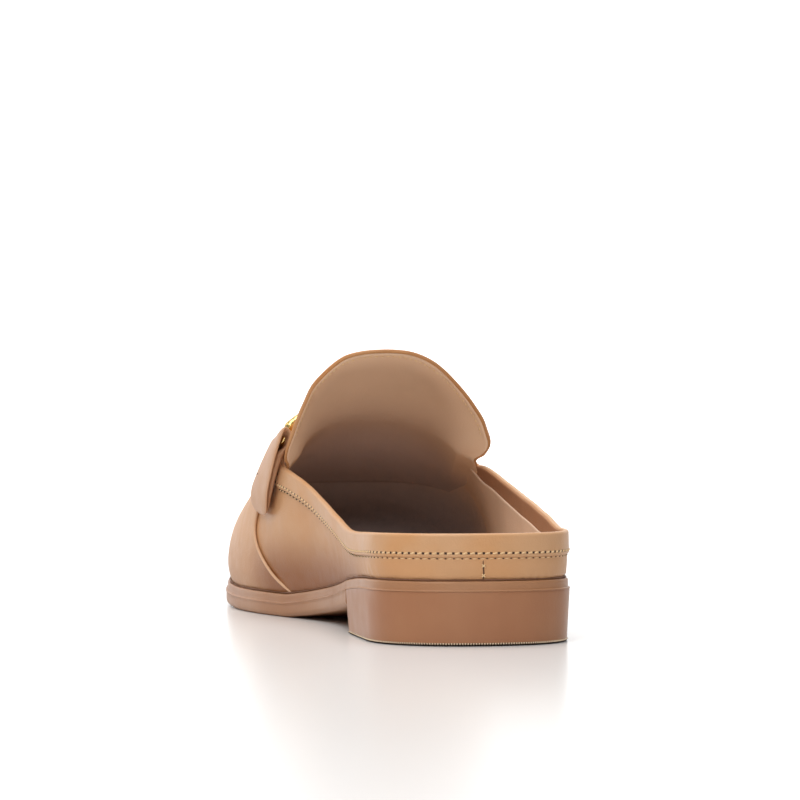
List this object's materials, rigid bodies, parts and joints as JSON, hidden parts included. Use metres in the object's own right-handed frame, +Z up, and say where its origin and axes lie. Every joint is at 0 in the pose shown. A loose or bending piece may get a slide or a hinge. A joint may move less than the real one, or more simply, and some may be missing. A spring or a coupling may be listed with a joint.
{
  "type": "loafer",
  "caption": "Backless leather loafer for the right foot, with a tall tongue, a low block heel and a metal bit held by side tabs.",
  "frame": {"origin": "on the floor, under the middle of the shoe's outline", "axes": "+Y from the heel to the toe along the heel's centre line, +Z up, -X to the inner side of the foot"},
  "size_m": [0.088, 0.256, 0.0868],
  "materials": {
    "outsole": "satin tan moulded sole with a fine ridge under its top edge",
    "heel": "satin tan block heel with a serrated foot rim",
    "insole": "matte beige sock lining",
    "upper": "smooth tan leather with soft sheen and orange-brown mottling",
    "tongue": "smooth tan leather outside, beige lining inside, folded rim",
    "strap_tab": "folded tan leather with raw edges",
    "bit": "polished pale gold"
  },
  "bodies": {
    "root": {"outsole": "outsole", "heel": "heel", "insole": "insole", "upper": "upper", "tongue": "tongue", "strap_tab_inner": "strap_tab", "strap_tab_outer": "strap_tab", "bit": "bit"}
  },
  "joints": []
}
